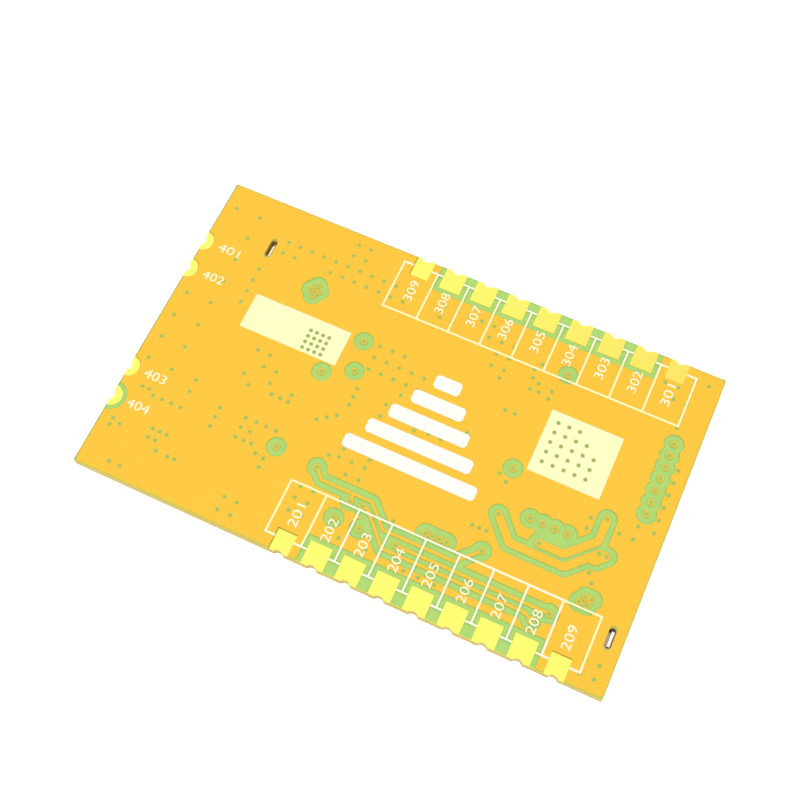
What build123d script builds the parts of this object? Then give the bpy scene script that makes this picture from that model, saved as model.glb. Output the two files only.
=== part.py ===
from build123d import *
import math
import os

# A radio module on a small circuit board, lying on the lid of its shield can, underside up.
# Millimetres, +Z up, origin at the middle of the lid's outer face.

# Board
board_length = 40.0
board_width = 25.0
board_thickness = 0.8

# Small rounds have this many sides, so that the many vias and notches stay light
round_sides = 16
track_joint_sides = 8
via_land_sides = 8
pit_sides = 5

# Printed layers: skin is copper with its solder mask, land is bare plated copper
skin_thickness = 0.06
land_thickness = 0.04
ink_thickness = 0.02
pour_pullback = 0.07
pour_corner_radius = 0.4

# Edge pins
pin_pitch = 2.54
pins_per_row = 9
last_pin_from_right = 3.48
land_width = 1.67
land_length = 1.75
ground_land_width = 1.45
ground_land_length = 1.65
rear_land_length = 1.2
notch_radius = 0.45
notch_offset = 0.25
plating = 0.04
pin_band_gap_side = 0.39
pin_band_gap_end = 0.37
pin_band_corner = 0.12
rear_pin_gap = 0.3

# Antenna end
end_pins_from_back = [5.53, 8.07]
end_pins_from_front = [8.0, 5.46]
end_land_radius = 0.82
antenna_gap = 0.33

# Exposed pads and their thermal vias
left_pad_from_left = 5.8
left_pad_from_front = 14.2
left_pad_length = 7.85
left_pad_width = 2.92
right_pad_from_right = 5.15
right_pad_from_front = 12.68
right_pad_length = 5.48
right_pad_width = 4.99
thermal_via_radius = 0.14
thermal_via_depth = 0.035
left_via_pitch = 0.495
left_via_count = 4
left_via_from_pad_end = 1.35
left_via_from_pad_side = 1.06
right_via_pitch_x = 0.825
right_via_pitch_y = 0.795
right_via_rows = [3, 4, 5, 5, 5]
right_via_from_pad_end = 0.78
right_via_from_pad_side = 0.82

# Tracks and vias under the mask
track_gap = 0.48
via_land_radius = 0.27
via_pit_radius = 0.14
via_pit_depth = 0.045
fine_track = 0.22
supply_track = 0.58
supply_track_gap = 0.44
via_grid = 1.0

# Printed tables round the pins, and the printed mark
ink_line = 0.15
table_margin = 1.47
table_height = 4.05
front_table_from_edge = 1.03
back_table_from_edge = 0.8
mark_from_left = 16.7
mark_from_front = 8.85
mark_width = 10.2
mark_height = 8.5
mark_bars = 5
mark_bar_share = 0.64
mark_bar_corner = 0.2

# Shield can
can_height = 2.4
can_from_left = 4.98
can_from_right = 0.82
can_from_side = 2.2
can_wall = 0.2
can_bend_radius = 0.5
corner_slit = 0.5
foot_pitch = 5.0
foot_relief_width = 1.2
foot_relief_height = 0.3
long_wall_reliefs = 6
end_wall_reliefs = 2
antenna_relief_width = 2.2
antenna_relief_height = 0.6
leg_width = 1.1
leg_recess = 0.25
left_leg_from_back = 4.0
right_leg_from_front = 4.0

# Plated slots for the can's legs
slot_clearance = 0.14
slot_end_clearance = 0.19
slot_leg_shift = 0.08
slot_pour_gap = 0.02
slot_pour_end_gap = 0.13

# Parts under the can
rear_window_inset = 1.0
solder_gap = 0.05
transceiver_size = 6.0
amplifier_size = 4.0
switch_size = 2.0
transceiver_contacts = 4
amplifier_contacts = 2
switch_contacts = 1
flat_package_height = 0.9
package_chamfer = 0.12
contact_width = 0.25
contact_length = 0.45
contact_height = 0.2
crystal_length = 3.2
crystal_width = 2.5
crystal_base_height = 0.55
crystal_height = 0.8
crystal_lid_inset = 0.12
regulator_length = 2.9
regulator_width = 1.6
regulator_height = 1.1
regulator_lead_width = 0.4
regulator_lead_reach = 0.6
regulator_lead_pitch = 0.95
choke_size = 3.0
choke_height = 1.5
choke_corner = 0.5
capacitor_length = 1.6
capacitor_width = 0.8
capacitor_height = 0.8
resistor_length = 1.0
resistor_width = 0.5
resistor_height = 0.35
inductor_length = 1.6
inductor_width = 1.0
inductor_height = 0.9
chip_cap_share = 0.22

# Where they stand: gaps to a neighbour, and distances from the can's walls
switch_gap = 1.8
crystal_gap = 2.4
regulator_from_right_wall = 6.0
regulator_from_front_wall = 4.2
choke_from_right_wall = 11.0
choke_from_front_wall = 4.8
resistor_gap = 3.6
resistor_pitch = 1.2
resistor_count = 4
resistors_from_front_wall = 3.2
capacitor_gap = 0.6
capacitor_pitch = 2.2
capacitors_per_row = 3
inductor_gap = 0.8
inductor_pitch = 1.7
inductors_per_row = 2

# Antenna line and socket
antenna_line_width = 0.9
antenna_line_gap = 0.55
antenna_line_end_margin = 1.0
socket_from_can = 0.38
socket_from_front = 2.35
socket_base = 2.6
socket_base_height = 0.35
socket_base_chamfer = 0.25
socket_shell_radius = 1.0
socket_shell_wall = 0.15
socket_height = 1.25
socket_groove_depth = 0.07
socket_groove_width = 0.2
socket_pin_radius = 0.25
socket_pin_height = 0.95
socket_pin_chamfer = 0.08
socket_tab_width = 2.2
socket_tab_reach = 0.5
socket_tab_height = 0.15
socket_window_gap = 0.35

# Worked out from the sizes above
can_length = board_length - can_from_left - can_from_right
can_width = board_width - 2 * can_from_side
can_rim_z = can_height
laminate_low_z = can_rim_z + skin_thickness
laminate_high_z = laminate_low_z + board_thickness
ink_z = laminate_high_z + skin_thickness


# Places, as distances from the board's edges
def left(distance):
    return distance - board_length / 2


def right(distance):
    return board_length / 2 - distance


def front(distance):
    return distance - board_width / 2


def back(distance):
    return board_width / 2 - distance


def sheet(sketch, low_z, thickness):
    """Lift a flat sketch to its height and give it its thickness."""
    return extrude(Pos(0, 0, low_z) * sketch, thickness, dir=(0, 0, 1))


def rectangle(low_x, low_y, high_x, high_y):
    middle = Pos((low_x + high_x) / 2, (low_y + high_y) / 2)
    return middle * Rectangle(high_x - low_x, high_y - low_y)


def small_round(radius, sides=round_sides):
    return RegularPolygon(radius, sides)


def discs(centres, radius, sides=round_sides):
    return [Pos(x, y) * small_round(radius, sides) for x, y in centres]


def track(points, width, joint_sides):
    """A round-ended line of one width along a run of points."""
    runs = []
    for (x0, y0), (x1, y1) in zip(points, points[1:]):
        length = math.hypot(x1 - x0, y1 - y0)
        turn = math.degrees(math.atan2(y1 - y0, x1 - x0))
        place = Pos((x0 + x1) / 2, (y0 + y1) / 2) * Rot(0, 0, turn)
        runs.append(place * Rectangle(length, width))
    return Sketch() + runs + discs(points, width / 2, joint_sides)


def spot_row(x, y, step_x, step_y, count):
    return [(x + step_x * index, y + step_y * index) for index in range(count)]


# Pins: each place is a point on the board's edge and the direction into the board
def row_x(index):
    return right(last_pin_from_right) - (pins_per_row - 1 - index) * pin_pitch


def pin_places():
    """Pin places in order round the board, with the kind of each."""
    places = []
    for distance in end_pins_from_back:
        places.append((left(0), back(distance), 0, "end_ground"))
    places.append((left(0), front(end_pins_from_front[0]), 0, "end_ground"))
    places.append((left(0), front(end_pins_from_front[1]), 0, "antenna"))
    for index in range(pins_per_row):
        kind = "ground" if index in (0, pins_per_row - 1) else "signal"
        places.append((row_x(index), front(0), 90, kind))
    for index in range(pins_per_row):
        kind = "ground" if index in (0, pins_per_row - 1) else "signal"
        places.append((row_x(pins_per_row - 1 - index), back(0), 270, kind))
    return places


def at_edge(x, y, turn):
    """Frame on the edge whose own +X points into the board."""
    return Pos(x, y) * Rot(0, 0, turn)


def land_outline(kind, side):
    """A pin's land without its notch, from the edge inwards."""
    if kind in ("antenna", "end_ground"):
        return small_round(end_land_radius) & rectangle(0, -end_land_radius, end_land_radius, end_land_radius)
    width = land_width if kind == "signal" else ground_land_width
    length = land_length if kind == "signal" else ground_land_length
    if side == "rear":
        length = rear_land_length
    return rectangle(0, -width / 2, length, width / 2)


def notch(radius):
    return Pos(-notch_offset, 0) * small_round(radius)


def board_outline():
    return Rectangle(board_length, board_width)


def edge_pin(kind):
    """A land on each face, joined by the half barrel in the board's edge."""
    upper = land_outline(kind, "face") - notch(notch_radius)
    lower = land_outline(kind, "rear") - notch(notch_radius)
    reach = notch_radius + plating
    barrel = (notch(reach) - notch(notch_radius)) & rectangle(0, -reach, reach, reach)
    pin = sheet(upper, laminate_high_z, land_thickness)
    pin += sheet(barrel, laminate_low_z, board_thickness)
    pin += sheet(lower, laminate_low_z - land_thickness, land_thickness)
    return pin


# Laminate
def leg_places():
    """Middle of each leg of the can, and of the slot round it."""
    wall_middle = can_wall / 2
    return [
        (left(can_from_left + wall_middle), back(left_leg_from_back)),
        (right(can_from_right + wall_middle), front(right_leg_from_front)),
    ]


def slot(x, y, side_growth, end_growth):
    """A round-ended slot about a leg, grown at its sides and at its ends."""
    width = can_wall + 2 * slot_clearance + 2 * side_growth
    length = leg_width + 2 * slot_end_clearance + 2 * end_growth
    reach = (length - width) / 2
    outline = Rectangle(width, 2 * reach) + discs([(0, -reach), (0, reach)], width / 2)
    return Pos(x - slot_leg_shift, y) * outline


def laminate_board():
    outline = board_outline()
    outline -= [at_edge(x, y, turn) * notch(notch_radius + plating) for x, y, turn, _ in pin_places()]
    outline -= [slot(x, y, plating, plating) for x, y in leg_places()]
    return sheet(outline, laminate_low_z, board_thickness)


def slot_barrel(x, y):
    ring = slot(x, y, plating, plating) - slot(x, y, 0, 0)
    return sheet(ring, laminate_low_z, board_thickness)


# Underside copper that stands apart from the pour
def tracks():
    """Each masked track by its node's name: its width, the gap round it, its runs of points and its vias."""
    long_run = [
        (left(15.93), front(6.67)),
        (left(16.65), front(5.95)),
        (left(20.55), front(5.95)),
        (left(22.05), front(4.45)),
        (left(27.4), front(4.45)),
        (left(28.85), front(5.9)),
    ]
    long_spur = [(left(19.12), front(5.95)), (left(19.12), front(5.36))]
    middle_run = [(left(23.35), front(3.82)), (right(5.33), front(3.82))]
    lower_run = [
        (left(20.07), front(5.38)),
        (left(20.45), front(5.38)),
        (left(22.55), front(3.22)),
        (right(6.9), front(3.22)),
        (right(6.28), front(2.92)),
    ]
    upper_supply = [
        (right(4.12), front(11.6)),
        (right(4.12), front(9.88)),
        (right(5.95), front(8.06)),
        (right(7.8), front(8.06)),
    ]
    lower_supply = [
        (right(3.2), front(9.1)),
        (right(3.75), front(9.1)),
        (right(5.6), front(7.22)),
        (right(9.67), front(7.22)),
        (right(11.12), front(8.83)),
    ]
    lower_spur = [(right(3.2), front(9.1)), (right(3.8), front(8.47)), (right(4.3), front(8.47))]
    fine = (fine_track, track_gap)
    supply = (supply_track, supply_track_gap)
    return {
        "track_long": (*fine, [long_run, long_spur], [long_run[0], long_run[-1], long_spur[-1]]),
        "track_middle": (*fine, [middle_run], [middle_run[0], middle_run[-1]]),
        "track_lower": (*fine, [lower_run], [lower_run[0], lower_run[-1]]),
        "supply_track_upper": (*supply, [upper_supply], [upper_supply[0], upper_supply[-1]]),
        "supply_track_lower": (*supply, [lower_supply, lower_spur], lower_supply[:2] + lower_supply[-1:]),
    }


def lone_vias():
    """Vias with a land of their own, apart from the pour and from every track."""
    vias = []
    vias += [(left(12.63), front(6.83)), (left(14.75), front(16.87)), (left(15.15), front(14.43))]
    vias += [(left(12.98), front(13.4)), (left(18.6), front(3.83)), (left(20.55), front(3.83))]
    vias += [(right(11.5), front(12.33)), (right(10.6), back(4.4))]
    vias += [(left(9.65), front(19.6)), (left(9.65), front(18.7))]
    vias += spot_row(left(9.32), front(19.15), 0.66, 0, 2)
    vias += [(right(3.5), front(5.88)), (right(3.05), front(5.88))]
    vias += [(right(3.78), front(5.42)), (right(3.25), front(5.42))]
    vias += spot_row(right(1.8), front(13.08), 0, 0.945, 7)
    vias += spot_row(right(9.0), front(9.45), 0.92, 0, 4)
    vias += spot_row(left(24.85), front(5.45), 0.52, 0, 4)
    return vias


def stitching_vias():
    """Ground vias in the pour, row by row: start, step and count."""
    step = via_grid
    rows = [
        (left(6), back(3), step, 0, 11),
        (left(6), back(4), step, 0, 2),
        (left(10), back(4), step, 0, 7),
        (left(11), back(2), step, 0, 2),
        (left(11), back(1), step, 0, 2),
        (left(1), back(2), step, 0, 1),
        (left(1), back(12), 0, 2 * step, 2),
        (left(3), back(12), 0, 2 * step, 6),
        (left(5), back(9), 0, step, 4),
        (left(8), back(12), step, 0, 2),
        (left(16), back(8), step, 0, 3),
        (left(16), back(9), step, 0, 5),
        (left(16), back(10), step, 0, 5),
        (left(19), back(10.9), step, 0, 1),
        (left(18.35), front(12), 0, step, 2),
        (left(15.93), front(11.88), 0, 0.68, 3),
        (left(19), back(3), step, 0, 6),
        (left(19), back(4), step, 0, 2),
        (left(23), back(4), step, 0, 3),
        (left(24), back(5), step, 0, 2),
        (left(24), back(6), step, 0, 2),
        (left(24.95), back(6.67), step, 0, 1),
        (left(21), back(12), 2 * step, 0, 2),
        (left(23), back(11), step, 0, 1),
        (left(24.5), back(11.55), step, 0, 1),
        (left(1), front(9.15), 0, 1.9, 2),
        (left(3), front(9), 0, 2 * step, 2),
        (left(5), front(8), 0, step, 2),
        (left(9), front(12), step, 0, 2),
        (left(10), front(11), step, 0, 1),
        (left(7.93), front(10.93), 0.69, -0.68, 2),
        (left(7.61), front(6.27), 0, 0.765, 3),
        (left(9.64), front(6.3), 0, 0.8, 3),
        (left(10.5), front(7.9), 0.78, 0, 3),
        (left(10.4), front(7.05), step, 0, 1),
        (left(10.3), front(6.29), 0.6, 0, 2),
        (left(11.5), front(5.77), 0.7, -0.12, 2),
        (left(12.2), front(4.95), step, 0, 1),
        (left(10.5), front(10.28), 0.7, 0, 2),
        (left(11.83), front(10.25), 0, 0.58, 2),
        (left(14.3), front(9.9), 0.6, 0.43, 3),
        (left(11), front(1), step, 0, 2),
        (left(11), front(2), step, 0, 2),
        (left(2.37), front(0.96), 0.88, 0, 2),
        (left(1), front(3.42), 0, 0.5, 2),
        (left(1.65), front(3.72), step, 0, 1),
        (left(3.97), front(3.68), 0.6, 0, 2),
        (left(4), front(4.38), 0.56, 0, 3),
        (left(5), front(3), step, 0, 1),
        (left(5.95), front(2.97), 0.55, 0, 2),
        (left(1.7), front(6.96), 0.55, 0, 2),
        (left(2.75), front(6.64), 0.75, 0, 4),
        (left(16.3), front(7.83), step, 0, 1),
        (left(17.05), front(8.67), 2.05, 0, 2),
        (left(17), front(8), step, 0, 3),
        (left(18), front(7), step, 0, 2),
        (left(15.5), front(3), step, 0, 2),
        (left(15.5), front(4), step, 0, 2),
        (left(15.5), front(4.93), step, 0, 2),
        (left(19.55), front(2.65), 2.05, 0, 2),
        (left(22.45), front(5.3), step, 0, 1),
        (left(24.55), front(2.4), 0.55, 0, 3),
        (left(26.85), front(2.4), step, 0, 1),
        (left(22.05), front(12.2), 0.95, 0, 2),
        (left(21), front(12), step, 0, 1),
        (right(13), back(5), 0.4, 0.6, 2),
        (right(12.85), back(5.65), 0.55, -0.27, 2),
        (right(12.7), back(6.55), 0.65, 0, 2),
        (right(11.2), back(6.73), 0, 0.63, 2),
        (right(13.7), back(8.8), 0.75, 0, 2),
        (right(12.2), front(11.6), 0.62, -0.4, 2),
        (right(12.45), front(7.34), 0.515, 0, 3),
        (right(5.2), front(10.42), 0, 0.83, 2),
        (right(3.9), front(7.55), 0.4, -0.62, 2),
        (right(3), front(11), step, 0, 2),
        (right(2), front(12), step, 0, 1),
        (right(0.85), front(12), 0, step, 6),
        (right(2), front(1), step, 0, 2),
        (right(2), front(2), step, 0, 2),
        (right(2), back(5), 0, step, 5),
        (right(1), back(1), step, 0, 1),
        (right(4), back(2), step, 0, 2),
        (right(3), back(3), step, 0, 1),
    ]
    return [spot for layout in rows for spot in spot_row(*layout)]


def pits(centres, mouth_z, radius, depth):
    """The shallow pit that is left over each filled via."""
    mouth = RegularPolygon(radius, pit_sides)
    pit = loft([mouth.face(), Vertex(0, 0, -depth)])
    return [Pos(x, y, mouth_z) * pit for x, y in centres]


def masked_copper(outline, vias):
    """Copper and its mask on the underside, with a pit over each via."""
    return sheet(outline, laminate_high_z, skin_thickness) - pits(vias, ink_z, via_pit_radius, via_pit_depth)


def copper_line(width, runs, vias):
    lines = [track(run, width, track_joint_sides) for run in runs]
    return masked_copper(Sketch() + lines + discs(vias, via_land_radius, via_land_sides), vias)


def via_lands():
    spots = lone_vias()
    return masked_copper(Sketch() + discs(spots, via_land_radius, via_land_sides), spots)


# Exposed pads
def left_pad_box():
    low_x, low_y = left(left_pad_from_left), front(left_pad_from_front)
    return low_x, low_y, low_x + left_pad_length, low_y + left_pad_width


def right_pad_box():
    high_x, low_y = right(right_pad_from_right), front(right_pad_from_front)
    return high_x - right_pad_length, low_y, high_x, low_y + right_pad_width


def left_thermal_vias():
    _, _, high_x, high_y = left_pad_box()
    start_x = high_x - left_via_from_pad_end
    start_y = high_y - left_via_from_pad_side
    count = range(left_via_count)
    return [(start_x - left_via_pitch * i, start_y - left_via_pitch * j) for i in count for j in count]


def right_thermal_vias():
    low_x, _, _, high_y = right_pad_box()
    spots = []
    for row, count in enumerate(right_via_rows):
        y = high_y - right_via_from_pad_side - right_via_pitch_y * row
        spots += spot_row(low_x + right_via_from_pad_end, y, right_via_pitch_x, 0, count)
    return spots


def exposed_pad(box, vias):
    pad = sheet(rectangle(*box), laminate_high_z, land_thickness)
    return pad - pits(vias, laminate_high_z + land_thickness, thermal_via_radius, thermal_via_depth)


# Underside pour
def pin_bands():
    """Bare laminate round the signal pins of each row."""
    half = land_width / 2 + pin_band_gap_side
    low_x, high_x = row_x(1) - half, row_x(pins_per_row - 2) + half
    depth = land_length + pin_band_gap_end
    middle = (low_x + high_x) / 2
    band = Rectangle(high_x - low_x, 2 * depth)
    band = chamfer(band.vertices(), pin_band_corner)
    return [Pos(middle, front(0)) * band, Pos(middle, back(0)) * band]


def supply_relief():
    """Bare laminate between the row of supply vias and the upper supply track."""
    return rectangle(right(8.35), front(8.06), right(6.0), front(9.45))


def pour_openings():
    openings = pin_bands()
    for x, y, turn, kind in pin_places():
        if kind == "antenna":
            openings.append(Pos(x, y) * small_round(end_land_radius + antenna_gap))
        elif kind == "end_ground":
            openings.append(Pos(x, y) * small_round(end_land_radius))
        elif kind == "ground":
            openings.append(at_edge(x, y, turn) * land_outline(kind, "face"))
    openings += [rectangle(*left_pad_box()), rectangle(*right_pad_box())]
    openings += [slot(x, y, slot_pour_gap, slot_pour_end_gap) for x, y in leg_places()]
    for width, gap, runs, vias in tracks().values():
        openings += [track(run, width + 2 * gap, round_sides) for run in runs]
        openings += discs(vias, via_land_radius + track_gap)
    openings += discs(lone_vias(), via_land_radius + track_gap)
    openings.append(supply_relief())
    return openings


def underside_pour():
    outline = RectangleRounded(
        board_length - 2 * pour_pullback, board_width - 2 * pour_pullback, pour_corner_radius
    )
    return masked_copper(outline - (Sketch() + pour_openings()), stitching_vias())


# Printed ink
def ink_table(near_y, far_y, edge_y):
    """A table with one cell for each pin, its near line broken at the lands."""
    half = ink_line / 2
    low_x = row_x(0) - table_margin
    high_x = row_x(pins_per_row - 1) + table_margin
    bottom, top = sorted((near_y, far_y))
    lines = [rectangle(low_x - half, y - half, high_x + half, y + half) for y in (near_y, far_y)]
    for x in (low_x, high_x):
        lines.append(rectangle(x - half, bottom - half, x + half, top + half))
    for index in range(pins_per_row - 1):
        x = row_x(index) + pin_pitch / 2
        lines.append(rectangle(x - half, bottom, x + half, top))
    breaks = []
    for index in range(pins_per_row):
        width = ground_land_width if index in (0, pins_per_row - 1) else land_width
        breaks.append(Pos(row_x(index), edge_y) * Rectangle(width, 2 * ground_land_length))
    return sheet(Sketch() + lines - breaks, ink_z, ink_thickness)


def printed_mark():
    """A plain stack of bars, each shorter than the one in front of it."""
    pitch = mark_height / mark_bars
    thick = pitch * mark_bar_share
    middle = left(mark_from_left) + mark_width / 2
    bars = []
    for index in range(mark_bars):
        low_y = front(mark_from_front) + index * pitch
        bar = Rectangle(mark_width * (1 - index / mark_bars), thick)
        bars.append(Pos(middle, low_y + thick / 2) * chamfer(bar.vertices(), mark_bar_corner))
    return sheet(Sketch() + bars, ink_z, ink_thickness)


# Shield can
def can_middle():
    return left(can_from_left + can_length / 2), 0


def can_reliefs():
    """Cut-outs along the rim between the soldered feet, and the wide one over the antenna line."""
    middle_x, middle_y = can_middle()
    rim = Pos(middle_x, middle_y, can_rim_z)
    across = Box(foot_relief_width, can_width + can_wall, 2 * foot_relief_height)
    cuts = [rim * spot * across for spot in GridLocations(foot_pitch, 1, long_wall_reliefs, 1)]
    along = Pos(can_length / 2, 0) * Box(3 * can_wall, foot_relief_width, 2 * foot_relief_height)
    cuts += [rim * spot * along for spot in GridLocations(1, foot_pitch, 1, end_wall_reliefs)]
    antenna = Box(3 * can_wall, antenna_relief_width, 2 * antenna_relief_height)
    cuts.append(Pos(left(can_from_left), front(end_pins_from_front[1]), can_rim_z) * antenna)
    return cuts


def shield_can():
    """One folded sheet: lid, four walls with open corners, rim feet and two legs."""
    middle_x, middle_y = can_middle()
    on_floor = (Align.CENTER, Align.CENTER, Align.MIN)
    outer = Box(can_length, can_width, can_height, align=on_floor)
    outer = fillet(outer.faces().sort_by(Axis.Z)[0].edges(), can_bend_radius)
    inner_length = can_length - 2 * can_wall
    inner_width = can_width - 2 * can_wall
    inner = Pos(0, 0, can_wall) * Box(inner_length, inner_width, can_height, align=on_floor)
    can = outer - inner
    slit_height = can_height - can_bend_radius
    slit = Pos(0, 0, can_bend_radius) * Box(corner_slit, corner_slit, slit_height, align=on_floor)
    corners = GridLocations(can_length, can_width, 2, 2)
    can -= [place * slit for place in corners]
    can = Pos(middle_x, middle_y, 0) * can
    can -= can_reliefs()
    leg_height = laminate_high_z - leg_recess - can_bend_radius
    leg = Box(can_wall, leg_width, leg_height, align=on_floor)
    for x, y in leg_places():
        can += Pos(x, y, can_bend_radius) * leg
    return can


# Component side
def socket_place():
    from_left = can_from_left - socket_from_can - socket_tab_reach - socket_base / 2
    return left(from_left), front(socket_from_front)


def antenna_line_end():
    return left(can_from_left + can_wall + antenna_line_end_margin), front(end_pins_from_front[1])


def antenna_line_outline(width):
    """The line from the antenna pin to the can, with its branch to the socket."""
    high_x, y = antenna_line_end()
    socket_x, socket_y = socket_place()
    half = width / 2
    growth = half - antenna_line_width / 2
    line = rectangle(left(end_land_radius) - growth, y - half, high_x + growth, y + half)
    branch_low = socket_y + socket_base / 2 + solder_gap
    return line + rectangle(socket_x - half, branch_low - growth, socket_x + half, y)


def rear_window():
    middle_x, middle_y = can_middle()
    inset = can_wall + rear_window_inset
    return Pos(middle_x, middle_y) * Rectangle(can_length - 2 * inset, can_width - 2 * inset)


def socket_window():
    x, y = socket_place()
    half_x = socket_base / 2 + socket_tab_reach + socket_window_gap
    half_y = socket_base / 2 + socket_window_gap
    return rectangle(x - half_x, y - half_y, x + half_x, y + half_y)


def rear_pour():
    """The ground frame round the parts, under the can's rim and out to the edges."""
    outline = Rectangle(board_length - 2 * pour_pullback, board_width - 2 * pour_pullback)
    openings = [rear_window(), socket_window(), antenna_line_outline(antenna_line_width + 2 * antenna_line_gap)]
    half = land_width / 2 + rear_pin_gap
    low_x, high_x = row_x(1) - half, row_x(pins_per_row - 2) + half
    for edge in (front(0), back(0)):
        depth = 2 * (rear_land_length + rear_pin_gap)
        openings.append(Pos((low_x + high_x) / 2, edge) * Rectangle(high_x - low_x, depth))
    for x, y, turn, kind in pin_places():
        if kind == "antenna":
            openings.append(Pos(x, y) * small_round(end_land_radius + antenna_gap))
        elif kind == "end_ground":
            openings.append(Pos(x, y) * small_round(end_land_radius))
        elif kind == "ground":
            openings.append(at_edge(x, y, turn) * land_outline(kind, "rear"))
    openings += [slot(x, y, slot_pour_gap, slot_pour_end_gap) for x, y in leg_places()]
    return sheet(outline - (Sketch() + openings), can_rim_z, skin_thickness)


def antenna_line():
    pin_round = Pos(left(0), front(end_pins_from_front[1])) * small_round(end_land_radius)
    line = antenna_line_outline(antenna_line_width) - pin_round
    return sheet(line, laminate_low_z - land_thickness, land_thickness)


def hang(x, y, solid):
    """Seat a part that was built upwards on the board's component side."""
    return Pos(x, y, laminate_low_z) * Rot(180, 0, 0) * solid


def from_can_corner(from_right_wall, from_front_wall):
    """A place inside the can, measured from its right and front walls."""
    return right(can_from_right + can_wall + from_right_wall), front(can_from_side + can_wall + from_front_wall)


def flat_package(size, contacts_per_side):
    """A square leadless package with a chamfered edge and a contact under each side."""
    on_seat = (Align.CENTER, Align.CENTER, Align.MIN)
    body = Pos(0, 0, solder_gap) * Box(size, size, flat_package_height - solder_gap, align=on_seat)
    body = chamfer(body.faces().sort_by(Axis.Z)[-1].edges(), package_chamfer)
    pitch = (size - 2 * contact_length) / contacts_per_side
    contact = Box(contact_length, contact_width, contact_height, align=on_seat)
    for side in range(4):
        for index in range(contacts_per_side):
            offset = (index - (contacts_per_side - 1) / 2) * pitch
            body += Rot(0, 0, 90 * side) * Pos((size - contact_length) / 2 + solder_gap, offset, 0) * contact
    return body


def transceiver_place():
    low_x, low_y, high_x, high_y = right_pad_box()
    return (low_x + high_x) / 2, (low_y + high_y) / 2


def transceiver():
    return hang(*transceiver_place(), flat_package(transceiver_size, transceiver_contacts))


def amplifier_place():
    spots = left_thermal_vias()
    return sum(x for x, _ in spots) / len(spots), sum(y for _, y in spots) / len(spots)


def power_amplifier():
    return hang(*amplifier_place(), flat_package(amplifier_size, amplifier_contacts))


def switch_place():
    x, y = antenna_line_end()
    return x + switch_gap + switch_size / 2, y


def antenna_switch():
    return hang(*switch_place(), flat_package(switch_size, switch_contacts))


def crystal():
    """A seam-sealed can with a raised lid on a ceramic base."""
    on_seat = (Align.CENTER, Align.CENTER, Align.MIN)
    base = Box(crystal_length, crystal_width, crystal_base_height, align=on_seat)
    lid_length = crystal_length - 2 * crystal_lid_inset
    lid_width = crystal_width - 2 * crystal_lid_inset
    lid = Box(lid_length, lid_width, crystal_height, align=on_seat)
    x, y = transceiver_place()
    x -= (transceiver_size + crystal_length) / 2 + crystal_gap
    return hang(x, y, base + lid)


def regulator():
    """A small package with three leads along one side and two along the other."""
    on_seat = (Align.CENTER, Align.CENTER, Align.MIN)
    body = Pos(0, 0, solder_gap) * Box(
        regulator_length, regulator_width, regulator_height - solder_gap, align=on_seat
    )
    body = chamfer(body.faces().sort_by(Axis.Z)[-1].edges(), package_chamfer)
    reach = regulator_width / 2 + regulator_lead_reach
    lead = Box(regulator_lead_width, 2 * reach, contact_height, align=on_seat)
    half_lead = Box(regulator_lead_width, reach, contact_height, align=(Align.CENTER, Align.MIN, Align.MIN))
    body += Pos(-regulator_lead_pitch, 0, 0) * lead
    body += Pos(regulator_lead_pitch, 0, 0) * lead
    body += half_lead
    return hang(*from_can_corner(regulator_from_right_wall, regulator_from_front_wall), body)


def choke():
    on_seat = (Align.CENTER, Align.CENTER, Align.MIN)
    block = Box(choke_size, choke_size, choke_height, align=on_seat)
    block = chamfer(block.edges().filter_by(Axis.Z), choke_corner)
    return hang(*from_can_corner(choke_from_right_wall, choke_from_front_wall), block)


def chip(length, width, height):
    """A ceramic chip with a slightly proud metal cap on each end."""
    on_seat = (Align.CENTER, Align.CENTER, Align.MIN)
    body = Pos(0, 0, solder_gap) * Box(
        length, width - 2 * solder_gap, height - 2 * solder_gap, align=on_seat
    )
    cap = Box(length * chip_cap_share, width, height, align=on_seat)
    reach = length * (1 - chip_cap_share) / 2
    return body + Pos(reach, 0, 0) * cap + Pos(-reach, 0, 0) * cap


def chips(spots, one):
    return Compound(children=[hang(x, y, one) for x, y in spots])


def capacitors():
    """A row behind the transceiver and a row behind the amplifier."""
    spots = []
    for (x, y), size in ((transceiver_place(), transceiver_size), (amplifier_place(), amplifier_size)):
        row_y = y + (size + capacitor_width) / 2 + capacitor_gap
        spots += spot_row(x, row_y, capacitor_pitch, 0, capacitors_per_row)
    return chips(spots, chip(capacitor_length, capacitor_width, capacitor_height))


def resistors():
    """A row along the front wall, to the left of the choke."""
    x, y = from_can_corner(choke_from_right_wall + choke_size / 2 + resistor_gap, resistors_from_front_wall)
    one = Rot(0, 0, 90) * chip(resistor_length, resistor_width, resistor_height)
    return chips(spot_row(x, y, -resistor_pitch, 0, resistor_count), one)


def inductors():
    """A row to the right of the amplifier and a row to the left of it."""
    x, y = amplifier_place()
    reach = (amplifier_size + inductor_length) / 2 + inductor_gap
    spots = spot_row(x + reach, y, 0, -inductor_pitch, inductors_per_row)
    spots += spot_row(x - reach, y, 0, -inductor_pitch, inductors_per_row)
    return chips(spots, chip(inductor_length, inductor_width, inductor_height))


# Antenna socket
def socket_base_block():
    on_seat = (Align.CENTER, Align.CENTER, Align.MIN)
    block = Box(socket_base, socket_base, socket_base_height, align=on_seat)
    block = chamfer(block.edges().filter_by(Axis.Z), socket_base_chamfer)
    return hang(*socket_place(), block)


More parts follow.
